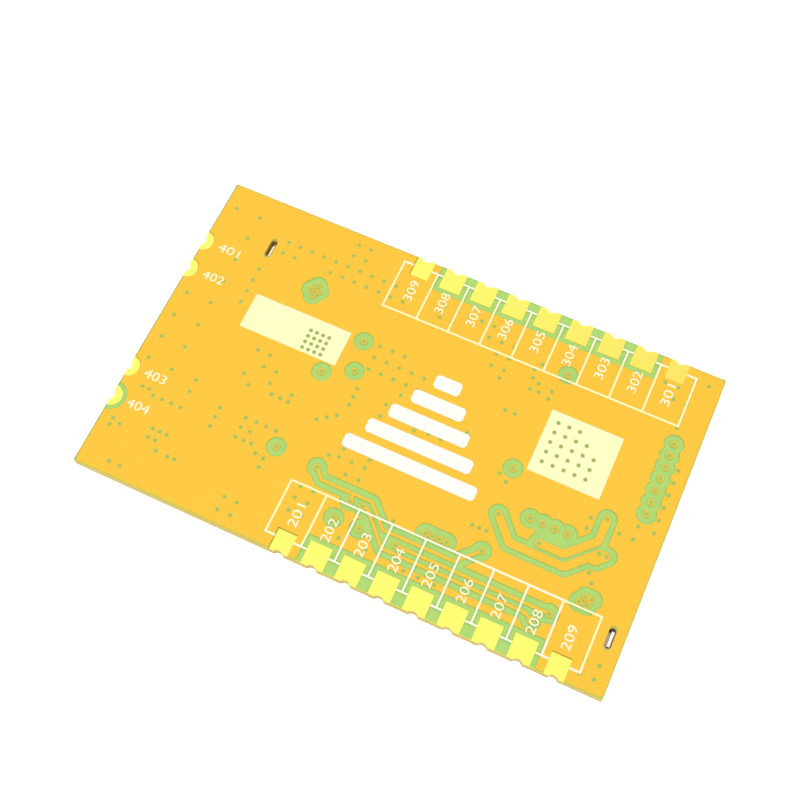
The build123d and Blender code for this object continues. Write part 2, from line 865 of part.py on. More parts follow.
def socket_shell():
    """A turned ring with a snap groove, standing on the base."""
    outer = socket_shell_radius
    inner = outer - socket_shell_wall
    groove_z = (socket_base_height + socket_height) / 2
    groove = outer - socket_groove_depth
    profile = Polyline(
        (inner, socket_base_height),
        (outer, socket_base_height),
        (outer, groove_z - socket_groove_width / 2),
        (groove, groove_z),
        (outer, groove_z + socket_groove_width / 2),
        (outer, socket_height),
        (inner, socket_height),
        close=True,
    )
    ring = revolve(Plane.XZ * make_face(profile), Axis.Z)
    return hang(*socket_place(), ring)


def socket_pin():
    height = socket_pin_height - socket_base_height
    pin = Cylinder(socket_pin_radius, height, align=(Align.CENTER, Align.CENTER, Align.MIN))
    pin = chamfer(pin.edges().sort_by(Axis.Z)[-1], socket_pin_chamfer)
    return hang(*socket_place(), Pos(0, 0, socket_base_height) * pin)


def socket_tabs():
    """Solder tabs at the base's two sides."""
    on_seat = (Align.MIN, Align.CENTER, Align.MIN)
    tab = Pos(socket_base / 2, 0, 0) * Box(socket_tab_reach, socket_tab_width, socket_tab_height, align=on_seat)
    return hang(*socket_place(), Compound(children=[tab, Rot(0, 0, 180) * tab]))


def all_parts():
    parts = {
        "laminate_board": laminate_board(),
        "underside_pour": underside_pour(),
        "exposed_pad_left": exposed_pad(left_pad_box(), left_thermal_vias()),
        "exposed_pad_right": exposed_pad(right_pad_box(), right_thermal_vias()),
        "via_lands": via_lands(),
        "slot_barrel_left": slot_barrel(*leg_places()[0]),
        "slot_barrel_right": slot_barrel(*leg_places()[1]),
        "ink_table_front": ink_table(
            front(front_table_from_edge), front(front_table_from_edge + table_height), front(0)
        ),
        "ink_table_back": ink_table(
            back(back_table_from_edge), back(back_table_from_edge + table_height), back(0)
        ),
        "ink_mark": printed_mark(),
        "rear_pour": rear_pour(),
        "antenna_line": antenna_line(),
        "shield_can": shield_can(),
        "transceiver": transceiver(),
        "power_amplifier": power_amplifier(),
        "antenna_switch": antenna_switch(),
        "crystal": crystal(),
        "regulator": regulator(),
        "supply_choke": choke(),
        "chip_capacitors": capacitors(),
        "chip_resistors": resistors(),
        "chip_inductors": inductors(),
        "socket_base": socket_base_block(),
        "socket_shell": socket_shell(),
        "socket_pin": socket_pin(),
        "socket_tabs": socket_tabs(),
    }
    for node, (width, _, runs, vias) in tracks().items():
        parts[node] = copper_line(width, runs, vias)
    for number, (x, y, turn, kind) in enumerate(pin_places(), start=1):
        parts[f"pin_{number:02d}"] = at_edge(x, y, turn) * edge_pin(kind)
    return parts


os.makedirs("parts", exist_ok=True)
for node, solid in all_parts().items():
    export_step(solid, f"parts/{node}.step")
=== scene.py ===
import bmesh
import bpy
import math
from mathutils import Matrix, Vector


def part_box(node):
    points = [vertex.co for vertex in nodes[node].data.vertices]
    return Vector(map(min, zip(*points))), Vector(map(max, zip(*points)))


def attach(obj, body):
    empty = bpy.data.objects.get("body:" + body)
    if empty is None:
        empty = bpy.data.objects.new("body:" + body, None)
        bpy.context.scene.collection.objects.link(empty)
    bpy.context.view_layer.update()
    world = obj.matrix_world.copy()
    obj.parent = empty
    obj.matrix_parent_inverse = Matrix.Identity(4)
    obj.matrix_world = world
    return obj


# A radio module lying on its shield can with its solder side up. Sizes are in millimetres and
# turned into the frame's metres by MM.
MM = 0.001

# Two places closer than this are one. The decimals are those kept of a pit's place in millimetres
# and of a foot's in metres.
near = 0.001
pit_digits = 3
foot_digits = 7

# Camera
lens = 54.03
sensor = 36.0
camera_aim = (-0.89, 1.24)
camera_distance = 86.5
camera_azimuth = -65.05
camera_elevation = 67.68
camera_roll = -0.3
clip_near = 1.0
clip_far = 10000.0

# Light
sky_level = 1.2
key_level = 0.12
key_direction = (-0.1, -0.25, 0.96)
key_distance = 220.0
key_size = 160.0
surface_light = 1.26
floor_size = 4000.0
floor_glow = 0.35

# Pins by number, as the nodes count them round the board
end_pins = range(1, 5)
front_pins = range(5, 14)
back_pins = range(14, 23)

# Printed numbers, by the first of each row
end_numbers = 401
front_numbers = 201
back_numbers = 301
digit_height = 0.7
digit_spacing = 1.0
digit_weight = 0.004
digit_curve_steps = 4
number_length = 1.75
row_label_from_edge = 2.88
end_label_from_edge = 2.2
print_thickness = 0.02

# Pits that the solids have over their vias
masked_pit_depth = 0.045
thermal_pit_depth = 0.035

# Round mask plugs over the filled vias, each ring a share of the radius and a height
plug_radius = 0.175
land_plug_radius = 0.19
thermal_plug_radius = 0.155
plug_sides = 20
plug_rise = 0.003
plug_dip = 0.001
plug_rings = [(0.4, plug_dip), (0.75, (plug_dip + plug_rise) / 2), (1.0, plug_rise), (1.0, 0.0)]

# Where the table's ink lies over bare board: beside the lands, and over the fan of tracks
green_reach = 1.5
green_share = 0.8
fan_from = -1.5
fan_to = 15.5

# Where the gold on the back pins deepens
amber_from = -5.0
amber_to = 17.0

# Painted shade: a dark line on the mask's rim beside the ground lands, standing in for the shaded
# wall of the mask, by pin number. The curved ones at the end lands run between two angles in degrees.
inner_line_pins = [5, 13]
left_line_pins = [5, 22]
end_line_pins = [1, 2, 3]
mask_line = 0.07
mask_line_height = 0.003
mask_line_inward = 0.03
end_line = 0.055
end_line_taper = 0.9
end_line_from = 82
end_line_to = -20
end_line_steps = 14

# Solder beads at the can's feet
bead_size = 0.16
bead_steps = 5
bead_end_size = 0.35
bead_end_inset = 0.2
shortest_bead = 3.0

# Solder beside the can's leg in the right slot, each section a share of its run and of the drop
slot_wall = 0.02
fill_end_gap = 0.06
fill_top = 0.24
fill_sag = 0.06
fill_share = 0.8
fill_steps = 6
fill_sections = [(0.0, 0.3), (0.06, 0.08), (0.5, 0.0), (0.85, 0.06), (1.0, 0.5)]

# Bright part of the left leg's end, from its outer side and from its back end; the rest of that end is
# painted brown shade
leg_shine = 0.115
leg_shade_reach = 0.16

# Bare strip along the board's edges, and the reach of the mask's thin rim beside it; both carry a painted
# shade that differs by side
edge_strip = 0.07
mask_rim_reach = 0.13

# How far a wall's normal may lean from level, and the shares by which the finer shades show
wall_limit = 0.3
mask_mottle = 0.4
cloth_lines = 0.15
amber_spots = 0.06
plug_clouds = 0.2
barrel_spots = 0.6
sheet_clouds = 0.3

# Noise over which the bare board turns cooler
cool_from = 0.45
cool_to = 0.75

# Edge rounding of the solid parts
soft_edge = 0.03
soft_edge_angle = 50
soft_edge_steps = 2
soft_nodes = [
    "shield_can",
    "transceiver",
    "power_amplifier",
    "regulator",
    "supply_choke",
    "socket_shell",
]

# Seen colours of the mask over copper
mask_front = (253, 201, 69)
mask_back = (253, 200, 69)
mask_light = (254, 202, 71)
mask_deep = (253, 198, 67)
mask_wall = (192, 188, 86)
# Painted shade on the mask along each edge of the board, darkest on the left
mask_edge_shades = {
    "left": (222, 199, 80),
    "right": (240, 202, 78),
    "front": (238, 204, 76),
    "back": (244, 200, 74),
}
# Painted shade of the hairlines on the mask's rim, light and dark
shade_line_light = (192, 158, 50)
shade_line_dark = (180, 146, 46)

# Seen colours of the plugs, at their middle and rim
plug_green = (152, 192, 104)
plug_rim = (228, 202, 80)
land_plug_green = (158, 200, 110)
land_plug_rim = (214, 204, 88)
pad_plug = (158, 178, 92)
pad_plug_rim = (186, 198, 122)

# Seen colours of the laminate
gap_green = (183, 221, 120)
gap_green_thread = (178, 218, 119)
gap_green_cool = (170, 217, 123)
side_top = (208, 196, 76)
side_middle = (210, 174, 70)
side_bottom = (198, 144, 54)
# Painted shade on the strip along each edge of the board, darkest on the left and back
edge_shades = {
    "left": (122, 152, 64),
    "right": (218, 208, 106),
    "front": (213, 221, 112),
    "back": (190, 158, 78),
}
strip_back_bare = (150, 190, 110)

# Seen colours of gold, ink and solder
land_yellow = (251, 253, 118)
land_amber = (253, 231, 106)
land_wall = (228, 208, 80)
# Painted shade at the foot of the pins' half barrels
land_wall_shade = (188, 138, 48)
pad_cream = (254, 254, 201)
pad_cream_deep = (253, 253, 197)
bright_gold = (248, 214, 118)
bright_gold_deep = (236, 196, 96)
mark_white = (255, 255, 252)
mark_cream = (255, 254, 240)
table_cream = (255, 252, 198)
table_cream_deep = (255, 251, 186)
table_over_green = (253, 255, 230)
number_cream = (255, 253, 214)
number_cream_deep = (255, 252, 206)
solder_light = (226, 226, 222)
solder_dark = (204, 204, 202)
slot_solder_light = (216, 206, 188)
slot_solder_dark = (206, 192, 166)

# Seen colours of the can's sheet
sheet_dark = (216, 214, 208)
sheet_light = (236, 235, 230)
sheet_cloud = (196, 196, 194)

# Seen colours of plain bodies, light and dark
body_shades = {
    "package_black": ((52, 52, 54), (36, 36, 38)),
    "crystal_metal": ((214, 212, 204), (190, 188, 180)),
    "choke_ferrite": ((96, 96, 98), (72, 72, 76)),
    "capacitor_ceramic": ((186, 160, 126), (164, 138, 104)),
    "resistor_ceramic": ((54, 54, 58), (38, 38, 42)),
    "inductor_ceramic": ((132, 150, 164), (104, 124, 140)),
    "socket_plastic": ((232, 228, 214), (216, 210, 194)),
}

# Own colours in and beside the slots, where little light falls in; the browns are painted shade
barrel_bottom = (0.5, 0.34, 0.05, 1)
barrel_middle = (0.46, 0.3, 0.04, 1)
barrel_top = (0.56, 0.46, 0.1, 1)
barrel_grime = (0.34, 0.22, 0.03, 1)
leg_white = (1, 1, 0.97, 1)
leg_cream = (0.98, 0.95, 0.66, 1)
leg_shade = (0.3, 0.24, 0.07, 1)

# Own colours of the floor
floor_dark = (0.9, 0.9, 0.9, 1)
floor_light = (0.93, 0.93, 0.93, 1)
white = (1, 1, 1, 1)

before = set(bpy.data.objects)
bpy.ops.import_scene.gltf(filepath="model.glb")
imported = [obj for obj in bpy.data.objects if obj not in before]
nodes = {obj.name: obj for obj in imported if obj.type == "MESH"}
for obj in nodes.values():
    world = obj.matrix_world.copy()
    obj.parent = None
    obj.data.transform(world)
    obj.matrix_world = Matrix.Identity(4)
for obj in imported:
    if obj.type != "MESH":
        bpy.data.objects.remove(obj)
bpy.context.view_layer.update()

board_low, board_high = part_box("laminate_board")
skin_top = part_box("underside_pour")[1].z
land_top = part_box("exposed_pad_left")[1].z


def leg_points():
    """The can's vertices that stand inside the board's slots."""
    return [vertex.co for vertex in nodes["shield_can"].data.vertices if vertex.co.z > board_low.z]


# Colours are written as they are seen, and each surface's own colour follows from the light on it
def linear(channel):
    channel /= 255
    return channel / 12.92 if channel <= 0.04045 else ((channel + 0.055) / 1.055) ** 2.4


def seen(colour, haze=0.03):
    """The base colour that looks like this in the studio, once the surface's own gloss is taken off."""
    shades = [(linear(channel) - haze * surface_light) / surface_light for channel in colour]
    return (*[min(max(shade, 0.0), 1.0) for shade in shades], 1.0)


class Look:
    """A procedural material, built up one node at a time."""

    def __init__(self, name, roughness, metallic=0.0, specular=0.35):
        self.material = bpy.data.materials.new(name)
        self.material.use_nodes = True
        self.tree = self.material.node_tree
        self.shader = self.tree.nodes["Principled BSDF"]
        self.shader.inputs["Roughness"].default_value = roughness
        self.shader.inputs["Metallic"].default_value = metallic
        self.shader.inputs["Specular IOR Level"].default_value = specular
        self.place = self.tree.nodes.new("ShaderNodeTexCoord").outputs["Object"]

    def node(self, kind, **settings):
        made = self.tree.nodes.new(kind)
        for key, value in settings.items():
            setattr(made, key, value)
        return made

    def join(self, source, target):
        self.tree.links.new(source, target)

    def feed(self, value, socket):
        """Set a socket to a plain value, or link it to another node's output."""
        if isinstance(value, (int, float, tuple)):
            socket.default_value = value
        else:
            self.join(value, socket)

    def math(self, operation, first, second):
        made = self.node("ShaderNodeMath", operation=operation)
        self.feed(first, made.inputs[0])
        self.feed(second, made.inputs[1])
        return made.outputs[0]

    def mix(self, factor, first, second):
        made = self.node("ShaderNodeMix", data_type="RGBA", blend_type="MIX")
        self.feed(factor, made.inputs[0])
        self.feed(first, made.inputs[6])
        self.feed(second, made.inputs[7])
        return made.outputs[2]

    def part(self, vector, name):
        split = self.node("ShaderNodeSeparateXYZ")
        self.join(vector, split.inputs[0])
        return split.outputs[name]

    def axis(self, name):
        """The place along one axis."""
        return self.part(self.place, name)

    def within(self, name, low, high):
        """One where the place along an axis lies between two limits, else nothing."""
        value = self.axis(name)
        above = self.math("GREATER_THAN", value, low)
        return self.math("MULTIPLY", above, self.math("LESS_THAN", value, high))

    def wall(self):
        """One where the true surface stands nearly upright, else nothing."""
        facing = self.part(self.node("ShaderNodeNewGeometry").outputs["True Normal"], "Z")
        return self.math("LESS_THAN", self.math("ABSOLUTE", facing, 0.0), wall_limit)

    def remap(self, value, source, target):
        """Spread a value between two limits over two others."""
        made = self.node("ShaderNodeMapRange")
        self.join(value, made.inputs["Value"])
        names = ("From Min", "From Max", "To Min", "To Max")
        for name, limit in zip(names, (*source, *target)):
            made.inputs[name].default_value = limit
        return made.outputs["Result"]

    def span(self, value, low, high):
        """Spread a value from low to high over 0 to 1."""
        return self.remap(value, (low, high), (0.0, 1.0))

    def noise(self, size, detail=3.0, stretch=(1, 1, 1)):
        """Noise whose grain is about this many millimetres."""
        mapping = self.node("ShaderNodeMapping")
        mapping.inputs["Scale"].default_value = stretch
        self.join(self.place, mapping.inputs["Vector"])
        made = self.node("ShaderNodeTexNoise")
        made.inputs["Scale"].default_value = 1 / (size * MM)
        made.inputs["Detail"].default_value = detail
        self.join(mapping.outputs[0], made.inputs["Vector"])
        return made.outputs["Fac"]

    def bands(self, axis, pitch, distortion):
        """Soft parallel threads across one axis."""
        made = self.node("ShaderNodeTexWave", wave_type="BANDS", bands_direction=axis)
        made.inputs["Scale"].default_value = math.pi / 10 / (pitch * MM)
        made.inputs["Distortion"].default_value = distortion
        self.join(self.place, made.inputs["Vector"])
        return made.outputs["Fac"]

    def ramp(self, value, stops):
        made = self.node("ShaderNodeValToRGB")
        points = made.color_ramp.elements
        while len(points) < len(stops):
            points.new(0.5)
        for point, (position, colour) in zip(points, stops):
            point.position = position
            point.color = colour
        self.join(value, made.inputs["Fac"])
        return made.outputs["Color"]

    def mottle(self, light, dark, size, share=0.5, haze=0.03):
        """Two close seen colours blended by soft noise."""
        stops = [(0.5 - share / 2, seen(light, haze)), (0.5 + share / 2, seen(dark, haze))]
        return self.ramp(self.noise(size), stops)

    def colour(self, source):
        self.join(source, self.shader.inputs["Base Color"])

    def drive(self, name, value, low, high):
        """Let a value of 0 to 1 move one of the shader's numbers between two limits."""
        self.join(self.remap(value, (0.0, 1.0), (low, high)), self.shader.inputs[name])

    def bump(self, height, depth, strength):
        made = self.node("ShaderNodeBump")
        made.inputs["Strength"].default_value = strength
        made.inputs["Distance"].default_value = depth * MM
        self.join(height, made.inputs["Height"])
        self.join(made.outputs["Normal"], self.shader.inputs["Normal"])


# Materials
def board_height(look):
    return look.span(look.axis("Z"), board_low.z, board_high.z)


def shade_edges(look, face, reach, side_shades):
    """Lay a strip of one width along each edge of the board, painted with a shade that differs by side."""
    edges = {
        "left": ("X", board_low.x - MM, board_low.x + reach * MM),
        "right": ("X", board_high.x - reach * MM, board_high.x + MM),
        "front": ("Y", board_low.y - MM, board_low.y + reach * MM),
        "back": ("Y", board_high.y - reach * MM, board_high.y + MM),
    }
    for side, (axis, low, high) in edges.items():
        face = look.mix(look.within(axis, low, high), face, seen(side_shades[side]))
    return face


def masked_copper():
    """Orange mask over copper, greener on its walls and in the pits of the filled vias."""
    look = Look("masked_copper", roughness=0.42)
    depth = look.span(look.axis("Y"), board_low.y, board_high.y)
    flat = look.mix(depth, seen(mask_front), seen(mask_back))
    flat = look.mix(mask_mottle, flat, look.mottle(mask_light, mask_deep, size=1.2))
    # Painted shade along the board's edges, differing by side
    flat = shade_edges(look, flat, mask_rim_reach, mask_edge_shades)
    pit = look.within("Z", board_high.z, skin_top - plug_rise * MM)
    look.colour(look.mix(look.wall(), look.mix(pit, flat, seen(plug_green)), seen(mask_wall)))
    look.drive("Roughness", look.noise(0.6), low=0.36, high=0.5)
    look.bump(look.noise(0.25), depth=0.004, strength=0.4)
    return look.material


def laminate():
    """Green mask over bare glass cloth, and the cut edge with its layers of cloth."""
    look = Look("laminate", roughness=0.5)
    warp = look.bands("X", pitch=0.42, distortion=0.6)
    weft = look.bands("Y", pitch=0.46, distortion=0.6)
    threads = look.math("MULTIPLY", warp, weft)
    face = look.mix(threads, seen(gap_green), seen(gap_green_thread))
    face = look.mix(look.span(look.noise(0.8), cool_from, cool_to), face, seen(gap_green_cool))
    # Painted shade along the board's edges, differing by side
    face = shade_edges(look, face, edge_strip, edge_shades)
    bare = look.within("X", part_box("pin_21")[0].x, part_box("pin_15")[1].x)
    back = look.within("Y", board_high.y - edge_strip * MM, board_high.y + MM)
    face = look.mix(look.math("MULTIPLY", bare, back), face, seen(strip_back_bare))
    stops = [(0.0, seen(side_bottom)), (0.5, seen(side_middle)), (1.0, seen(side_top))]
    layers = look.math("MULTIPLY", look.bands("Z", pitch=0.13, distortion=1.2), cloth_lines)
    side = look.mix(layers, look.ramp(board_height(look), stops), seen(side_top))
    look.colour(look.mix(look.wall(), face, side))
    look.drive("Roughness", look.noise(0.4), low=0.45, high=0.6)
    look.bump(threads, depth=0.006, strength=0.5)
    return look.material


def pin_gold():
    """Gold on the pins, deeper towards the far right corner, with painted shade turning the barrels brown
    towards their foot.
    """
    look = Look("pin_gold", roughness=0.42, metallic=0.1)
    across = look.span(look.axis("X"), amber_from * MM, amber_to * MM)
    far = look.math("GREATER_THAN", look.axis("Y"), board_high.y / 2)
    face = look.mix(look.math("MULTIPLY", across, far), seen(land_yellow), seen(land_amber))
    face = look.mix(look.math("MULTIPLY", look.noise(0.7), amber_spots), face, seen(land_amber))
    # Painted shade: the barrels' walls turn brown towards their foot
    barrel = look.ramp(board_height(look), [(0.3, seen(land_wall_shade)), (0.55, seen(land_wall))])
    look.colour(look.mix(look.wall(), face, barrel))
    look.drive("Roughness", look.noise(0.3), low=0.36, high=0.5)
    look.bump(look.noise(0.12, detail=4.0), depth=0.003, strength=0.3)
    return look.material


def pad_gold():
    """Pale gold plating on the two exposed pads, greener in the pits of the filled vias."""
    look = Look("pad_gold", roughness=0.42, metallic=0.05)
    face = look.mottle(pad_cream, pad_cream_deep, size=0.9, share=0.8)
    top = look.math("GREATER_THAN", look.axis("Z"), land_top - plug_rise * MM)
    look.colour(look.mix(top, seen(pad_plug), face))
    look.drive("Roughness", look.noise(0.3), low=0.36, high=0.5)
    look.bump(look.noise(0.12, detail=4.0), depth=0.003, strength=0.3)
    return look.material


def small_gold():
    """Bright gold on the antenna line and its socket."""
    look = Look("small_gold", roughness=0.3, metallic=0.7)
    look.colour(look.mottle(bright_gold, bright_gold_deep, size=0.3, share=0.8))
    look.drive("Roughness", look.noise(0.2), low=0.24, high=0.4)
    look.bump(look.noise(0.08, detail=4.0), depth=0.003, strength=0.4)
    return look.material


def plug(name, middle, rim, surface):
    """A filled via under the mask, a little lighter towards its rim."""
    look = Look(name, roughness=0.55)
    lift = look.span(look.axis("Z"), surface + plug_dip * MM, surface + plug_rise * MM)
    cloud = look.mix(look.noise(0.12), seen(middle), seen(rim))
    look.colour(look.mix(plug_clouds, look.mix(lift, seen(middle), seen(rim)), cloud))
    look.bump(look.noise(0.05), depth=0.002, strength=0.3)
    return look.material


def ink(name, light, dark, over_green=None):
    """Printed ink, whiter beside the lands and over the bare board if a colour for that is given."""
    look = Look(name, roughness=0.6)
    colour = look.mottle(light, dark, size=0.5, share=0.9)
    if over_green:
        reach = green_reach * MM
        middle = look.within("Y", board_low.y + reach, board_high.y - reach)
        fan = look.within("X", fan_from * MM, fan_to * MM)
        fan = look.math("MULTIPLY", fan, look.math("LESS_THAN", look.axis("Y"), 0.0))
        bare = look.math("MAXIMUM", look.math("SUBTRACT", 1.0, middle), fan)
        colour = look.mix(look.math("MULTIPLY", bare, green_share), colour, seen(over_green))
    look.colour(colour)
    look.drive("Roughness", look.noise(0.2), low=0.5, high=0.7)
    look.bump(look.noise(0.08, detail=4.0), depth=0.003, strength=0.5)
    return look.material


def painted_rim_shade():
    """Painted shade for the hairlines on the mask's rim."""
    look = Look("painted_rim_shade", roughness=0.6)
    look.colour(look.mottle(shade_line_light, shade_line_dark, size=0.15, share=0.8))
    look.bump(look.noise(0.06), depth=0.003, strength=0.4)
    return look.material


def slot_plating():
    """The slots' plating: little light falls in, so it is painted a strong brown shade, lighter towards
    the top.
    """
    look = Look("slot_plating", roughness=0.5)
    tone = look.ramp(board_height(look), [(0.0, barrel_bottom), (0.8, barrel_middle), (1.0, barrel_top)])
    grime = look.math("MULTIPLY", look.noise(0.1, detail=4.0), barrel_spots)
    look.colour(look.mix(grime, tone, barrel_grime))
    look.bump(look.noise(0.08), depth=0.004, strength=0.5)
    return look.material


def can_metal():
    """Tinned sheet: pale and dull, with fine rolling lines, and bright tin on the ends of its legs, the
    left one mostly painted brown shade beside a bright strip on its outer side.
    """
    look = Look("can_metal", roughness=0.34, metallic=0.0, specular=0.5)
    rolling = look.noise(0.5, detail=4.0, stretch=(0.04, 1.0, 1.0))
    cloud = look.noise(5.0, detail=2.0)
    sheet = look.ramp(rolling, [(0.3, seen(sheet_dark)), (0.7, seen(sheet_light))])
    sheet = look.mix(look.math("MULTIPLY", cloud, sheet_clouds), sheet, seen(sheet_cloud))
    leg = look.math("GREATER_THAN", look.axis("Z"), board_low.z)
    left = look.math("LESS_THAN", look.axis("X"), 0.0)
    outer_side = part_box("shield_can")[0].x
    back_end = max(spot.y for spot in leg_points() if spot.x < 0)
    inner_part = look.math("GREATER_THAN", look.axis("X"), outer_side + leg_shine * MM)
    back_part = look.math("GREATER_THAN", look.axis("Y"), back_end - leg_shade_reach * MM)
    # Painted shade: brown over the left leg's end, except a strip on its outer side and short of its back
    # end
    shaded = look.math("MULTIPLY", left, look.math("MAXIMUM", inner_part, back_part))
    end = look.mix(shaded, look.mix(left, leg_white, leg_cream), leg_shade)
    look.colour(look.mix(leg, sheet, end))
    look.drive("Metallic", leg, low=0.85, high=0.0)
    look.drive("Roughness", cloud, low=0.26, high=0.44)
    look.bump(rolling, depth=0.003, strength=0.3)
    return look.material


def solder(name, light, dark, metallic):
    """Tin-silver solder, slightly grainy."""
    look = Look(name, roughness=0.3, metallic=metallic, specular=0.5)
    look.colour(look.mottle(light, dark, size=0.2, share=0.8))
    look.drive("Roughness", look.noise(0.15), low=0.22, high=0.42)
    look.bump(look.noise(0.1, detail=4.0), depth=0.006, strength=0.5)
    return look.material


def moulded(name, grain=0.12, roughness=0.55, metallic=0.0):
    """A plain moulded or fired body with a fine grain."""
    look = Look(name, roughness, metallic)
    light, dark = body_shades[name]
    look.colour(look.mottle(light, dark, size=grain * 3, share=0.7, haze=0.02))
    look.drive("Roughness", look.noise(grain * 2), low=roughness - 0.1, high=roughness + 0.1)
    look.bump(look.noise(grain, detail=4.0), depth=0.01, strength=0.5)
    return look.material


# Camera, light and floor
def add_object(name, data):
    made = bpy.data.objects.new(name, data)
    bpy.context.scene.collection.objects.link(made)
    return made


def add_camera():
    camera = add_object("camera", bpy.data.cameras.new("camera"))
    camera.data.lens = lens
    camera.data.sensor_width = sensor
    camera.data.clip_start = clip_near * MM
    camera.data.clip_end = clip_far * MM
    azimuth, elevation = math.radians(camera_azimuth), math.radians(camera_elevation)
    flat = math.cos(elevation)
    away = Vector((math.cos(azimuth) * flat, math.sin(azimuth) * flat, math.sin(elevation)))
    target = Vector((camera_aim[0] * MM, camera_aim[1] * MM, skin_top))
    turn = away.to_track_quat("Z", "Y").to_matrix().to_4x4()
    roll = Matrix.Rotation(math.radians(camera_roll), 4, "Z")
    camera.matrix_world = Matrix.Translation(target + away * camera_distance * MM) @ turn @ roll
    bpy.context.scene.camera = camera


def add_light():
    world = bpy.data.worlds.new("studio")
    world.use_nodes = True
    sky = world.node_tree.nodes["Background"]
    sky.inputs["Color"].default_value = white
    sky.inputs["Strength"].default_value = sky_level
    bpy.context.scene.world = world
    lamp = bpy.data.lights.new("key", "AREA")
    lamp.size = key_size * MM
    # The power follows the distance, so that the level stays
    lamp.energy = key_level * math.pi * (key_distance * MM) ** 2 * 4
    key = add_object("key", lamp)
    key.location = Vector(key_direction) * key_distance * MM
    key.rotation_euler = (-key.location).to_track_quat("-Z", "Y").to_euler()


def add_floor():
    half = floor_size / 2 * MM
    mesh = bpy.data.meshes.new("floor")
    corners = [(-half, -half, 0), (half, -half, 0), (half, half, 0), (-half, half, 0)]
    mesh.from_pydata(corners, [], [(0, 1, 2, 3)])
    floor = add_object("floor", mesh)
    look = Look("floor", roughness=0.8)
    look.colour(look.ramp(look.noise(60.0), [(0.3, floor_dark), (0.7, floor_light)]))
    look.shader.inputs["Emission Color"].default_value = white
    look.shader.inputs["Emission Strength"].default_value = floor_glow
    mesh.materials.append(look.material)


# Pieces
def add_piece(name, mesh, material):
    piece = add_object(name, mesh)
    mesh.materials.clear()
    mesh.materials.append(material)
    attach(piece, "root")


def add_built(name, built, material):
    """Turn a finished bmesh into a piece, with its faces outwards."""
    bmesh.ops.recalc_face_normals(built, faces=built.faces)
    mesh = bpy.data.meshes.new(name)
    built.to_mesh(mesh)
    built.free()
    add_piece(name, mesh, material)


def skin(built, sections):
    """Join like rings of points into one closed skin."""
    for ring, after in zip(sections, sections[1:]):
        for index in range(len(ring)):
            follow = (index + 1) % len(ring)
            built.faces.new((ring[index], ring[follow], after[follow], after[index]))
    built.faces.new(sections[0])
    built.faces.new(list(reversed(sections[-1])))


def number_mesh(text, middle, turn):
    """Raised digits, drawn out to the number's length and height, centred and turned about the upright."""
    curve = bpy.data.curves.new("digits", "FONT")
    curve.body = text
    curve.size = digit_height * MM
    curve.space_character = digit_spacing
    curve.offset = digit_weight * MM
    curve.resolution_u = digit_curve_steps
    curve.extrude = print_thickness / 2 * MM
    holder = add_object("digits", curve)
    bpy.context.view_layer.update()
    mesh = bpy.data.meshes.new_from_object(holder.evaluated_get(bpy.context.evaluated_depsgraph_get()))
    bpy.data.objects.remove(holder)
    spots = [vertex.co for vertex in mesh.vertices]
    low, high = Vector(map(min, *spots)), Vector(map(max, *spots))
    size, centre = high - low, (low + high) / 2
    fit = Matrix.Diagonal((number_length * MM / size.x, digit_height * MM / size.y, 1, 1))
    place = Matrix.Translation((middle.x, middle.y, skin_top + print_thickness / 2 * MM))
    mesh.transform(place @ Matrix.Rotation(turn, 4, "Z") @ fit @ Matrix.Translation(-centre))
    return mesh


def label_places():
    """Each pin's printed number: its text, middle and turn."""
    places = []
    for index, number in enumerate(end_pins):
        low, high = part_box(f"pin_{number:02d}")
        middle = Vector((board_low.x + end_label_from_edge * MM, (low.y + high.y) / 2, 0))
        places.append((str(end_numbers + index), middle, 0.0))
    rows = [(front_pins, front_numbers, board_low.y + row_label_from_edge * MM)]
    rows += [(back_pins, back_numbers, board_high.y - row_label_from_edge * MM)]
    for pins, first, y in rows:
        for index, number in enumerate(pins):
            low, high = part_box(f"pin_{number:02d}")
            places.append((str(first + index), Vector(((low.x + high.x) / 2, y, 0)), math.pi / 2))
    return places


def add_numbers(material):
    for text, middle, turn in label_places():
        add_piece("number_" + text, number_mesh(text, middle, turn), material)


def pit_places(names, surface, depth):
    """The deepest point of each via pit, read from the meshes."""
    places = set()
    for name in names:
        for vertex in nodes[name].data.vertices:
            if abs(vertex.co.z - (surface - depth * MM)) < near * MM:
                x, y = vertex.co.x / MM, vertex.co.y / MM
                places.add((round(x, pit_digits), round(y, pit_digits)))
    return sorted(places)


def add_plugs(name, places, surface, radius, material):
    """A shallow round dish over each filled via, closed down to the surface at its rim."""
    built = bmesh.new()
    for x, y in places:
        layers = []
        for share, rise in plug_rings:
            layer = []
            for step in range(plug_sides):
                angle = 2 * math.pi * step / plug_sides
                spot = (x + radius * share * math.cos(angle), y + radius * share * math.sin(angle))
                layer.append(built.verts.new((spot[0] * MM, spot[1] * MM, surface + rise * MM)))
            layers.append(layer)
        middle = built.verts.new((x * MM, y * MM, surface + plug_dip * MM))
        for step in range(plug_sides):
            after = (step + 1) % plug_sides
            built.faces.new((middle, layers[0][step], layers[0][after]))
            for inner, outer in zip(layers, layers[1:]):
                built.faces.new((inner[step], outer[step], outer[after], inner[after]))
        built.faces.new(list(reversed(layers[-1])))
    add_built(name, built, material)


